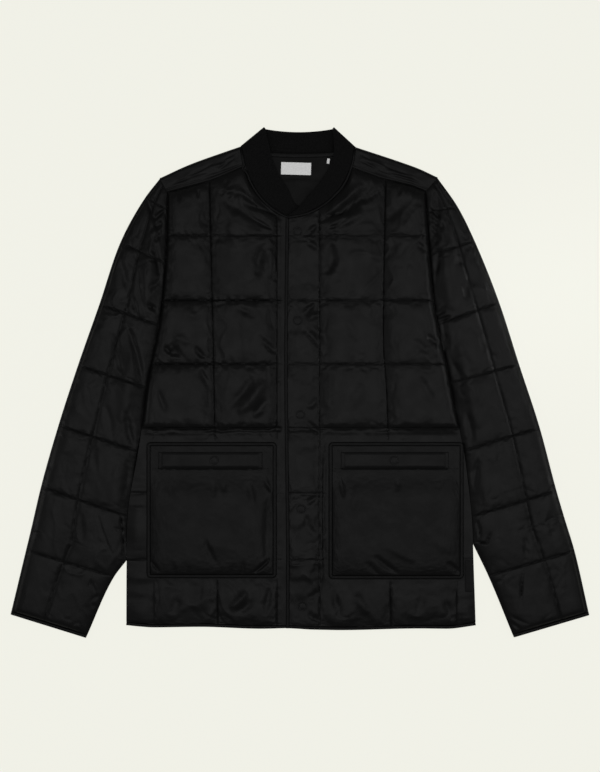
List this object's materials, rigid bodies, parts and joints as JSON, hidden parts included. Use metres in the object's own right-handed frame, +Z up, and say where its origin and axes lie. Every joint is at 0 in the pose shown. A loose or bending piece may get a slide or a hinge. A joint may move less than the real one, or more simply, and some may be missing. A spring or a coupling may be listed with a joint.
{
  "type": "quilted jacket",
  "caption": "Black square-quilted snap jacket with a rib-knit stand collar, plain yoke and bound patch pockets, laid flat with the front up.",
  "frame": {"origin": "on the surface that the jacket lies on, in the middle of the jacket's bounds", "axes": "+X towards the wearer's left, across the widest extent; +Y from the hem to the collar; +Z up off the surface, through the thickness"},
  "size_m": [0.8494, 0.748, 0.0169],
  "materials": {
    "shell": "thin smooth nylon over light padding, soft sheen",
    "binding": "woven binding tape, low sheen",
    "rib_knit": "matte fine rib knit",
    "lining": "smooth nylon lining",
    "label": "white woven label, bare",
    "snap_metal": "black painted snap caps"
  },
  "bodies": {
    "root": {"back_panel": "shell", "yoke": "shell", "front_right": "shell", "front_left": "shell", "sleeve_right": "shell", "sleeve_left": "shell", "pocket_right": "shell", "pocket_left": "shell", "pocket_welt_right": "binding", "pocket_welt_left": "binding", "pocket_binding_right": "binding", "pocket_binding_left": "binding", "placket_binding": "binding", "hem_binding_back": "binding", "hem_binding_right": "binding", "hem_binding_left": "binding", "cuff_binding_right": "binding", "cuff_binding_left": "binding", "neck_binding_right": "binding", "neck_binding_left": "binding", "back_neck_tape": "binding", "side_tab": "binding", "rib_collar": "rib_knit", "back_lining": "lining", "neck_label": "label", "size_tag": "label", "snap_1": "snap_metal", "snap_2": "snap_metal", "snap_3": "snap_metal", "snap_4": "snap_metal", "snap_5": "snap_metal", "pocket_snap_right": "snap_metal", "pocket_snap_left": "snap_metal"}
  },
  "joints": []
}
